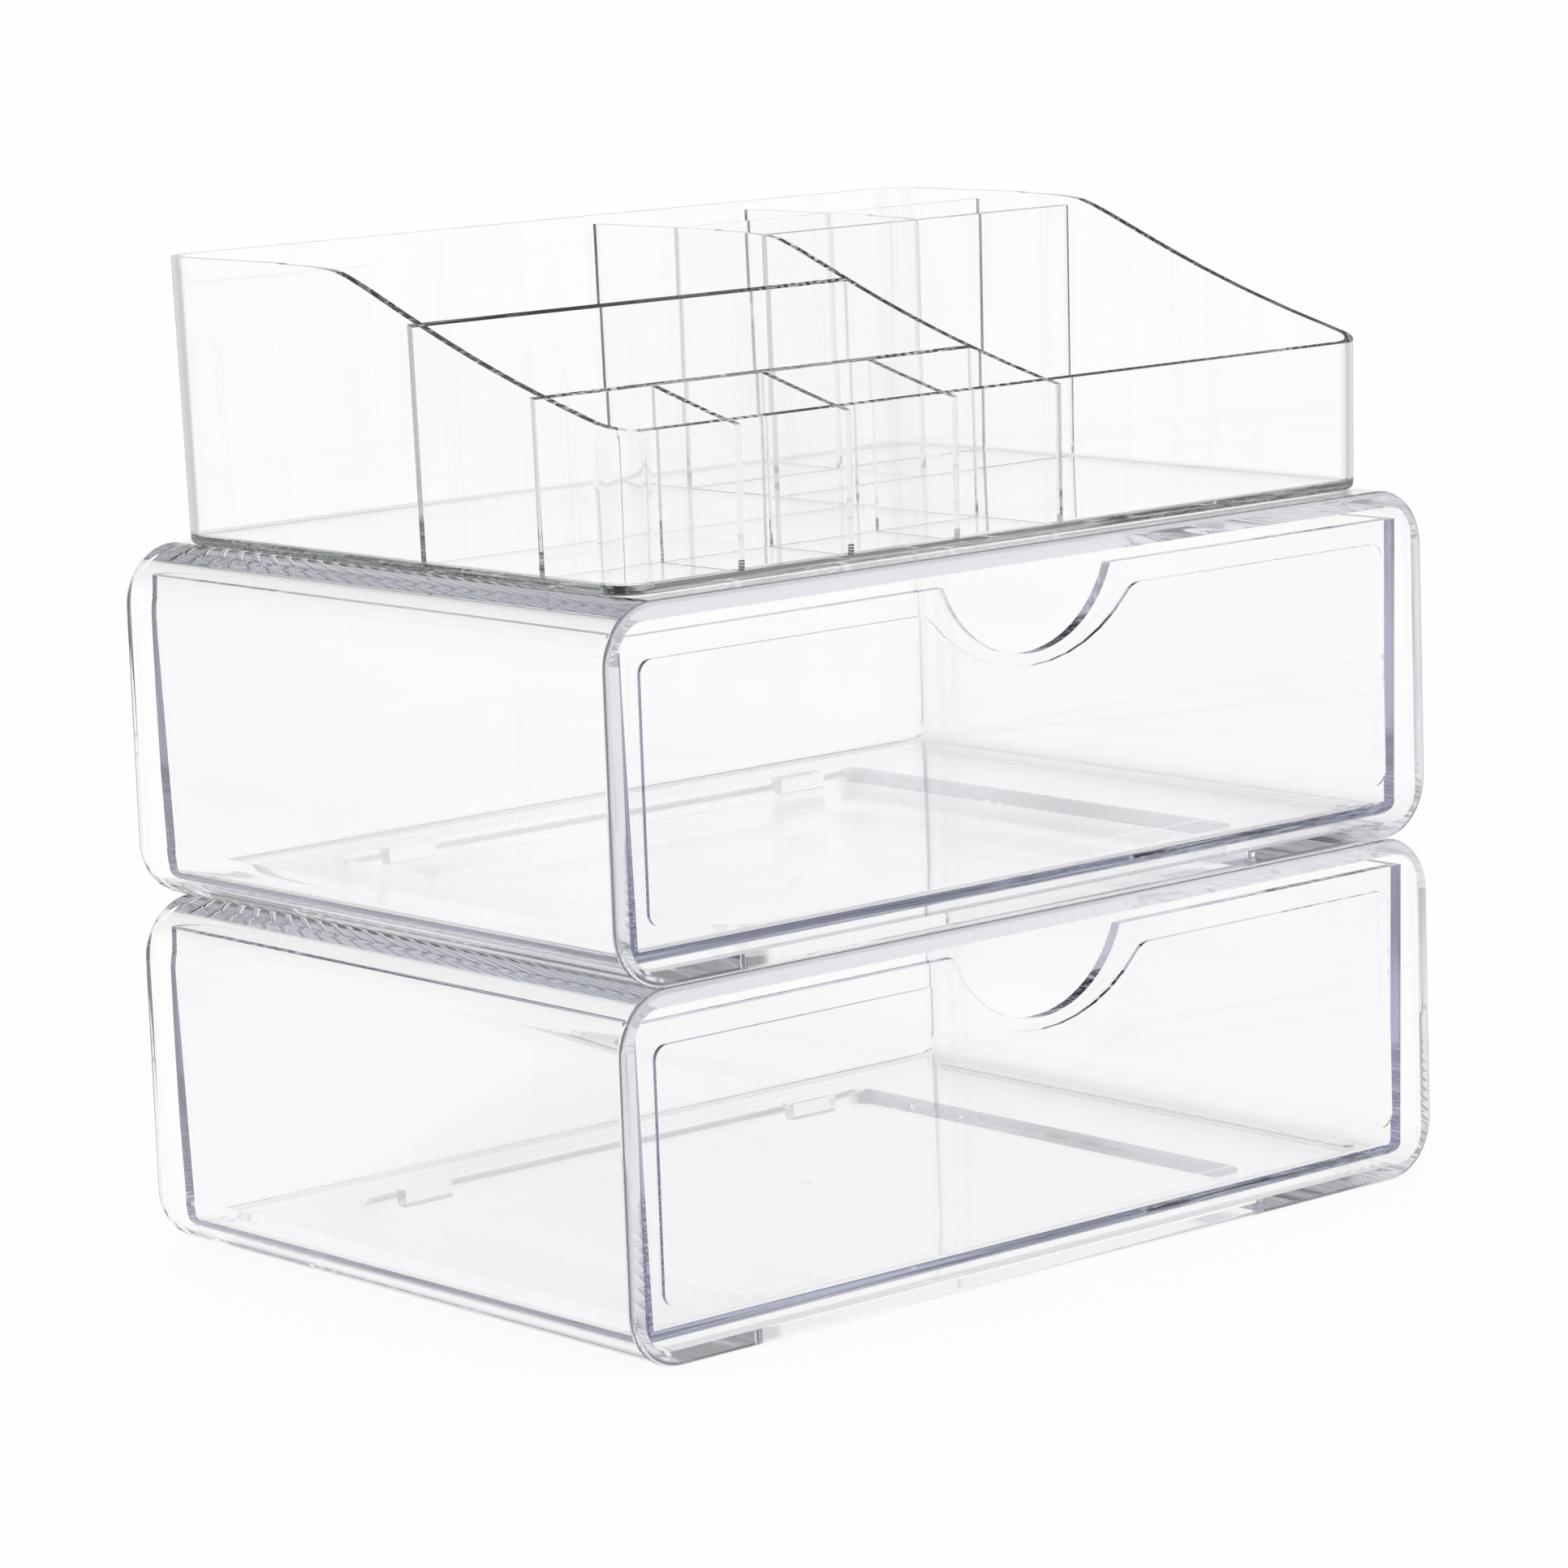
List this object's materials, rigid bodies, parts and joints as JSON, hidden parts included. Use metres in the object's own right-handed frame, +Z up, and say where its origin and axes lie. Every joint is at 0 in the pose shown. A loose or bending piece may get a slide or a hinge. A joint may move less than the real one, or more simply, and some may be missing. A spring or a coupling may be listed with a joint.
{
  "type": "stacking drawer organiser",
  "caption": "Clear stacking organiser: wide cases with pull-out drawers and half-moon finger notches, under a divided open tray whose rim sweeps down to the front.",
  "frame": {"origin": "centre of the lower case's underside, on the surface the organiser stands on", "axes": "+Z up, +X to the right as seen from the front, -Y towards the drawers' fronts"},
  "size_m": [0.306, 0.215, 0.285],
  "materials": {
    "clear_case": "polished clear",
    "clear_drawer": "polished clear",
    "clear_tray": "polished clear"
  },
  "bodies": {
    "lower_case": {"lower_case": "clear_case"},
    "lower_drawer": {"lower_drawer": "clear_drawer"},
    "upper_case": {"upper_case": "clear_case"},
    "upper_drawer": {"upper_drawer": "clear_drawer"},
    "top_tray": {"top_tray": "clear_tray"}
  },
  "joints": [
    {"name": "lower_drawer_slide", "type": "slide", "parent": "lower_case", "child": "lower_drawer", "axis": [0, -1, 0], "range_m": [0, 0.164]},
    {"name": "upper_case_lift", "type": "slide", "parent": "lower_case", "child": "upper_case", "axis": [0, 0, 1], "range_m": [0, 0.06]},
    {"name": "upper_drawer_slide", "type": "slide", "parent": "upper_case", "child": "upper_drawer", "axis": [0, -1, 0], "range_m": [0, 0.164]},
    {"name": "tray_lift", "type": "slide", "parent": "upper_case", "child": "top_tray", "axis": [0, 0, 1], "range_m": [0, 0.06]}
  ]
}
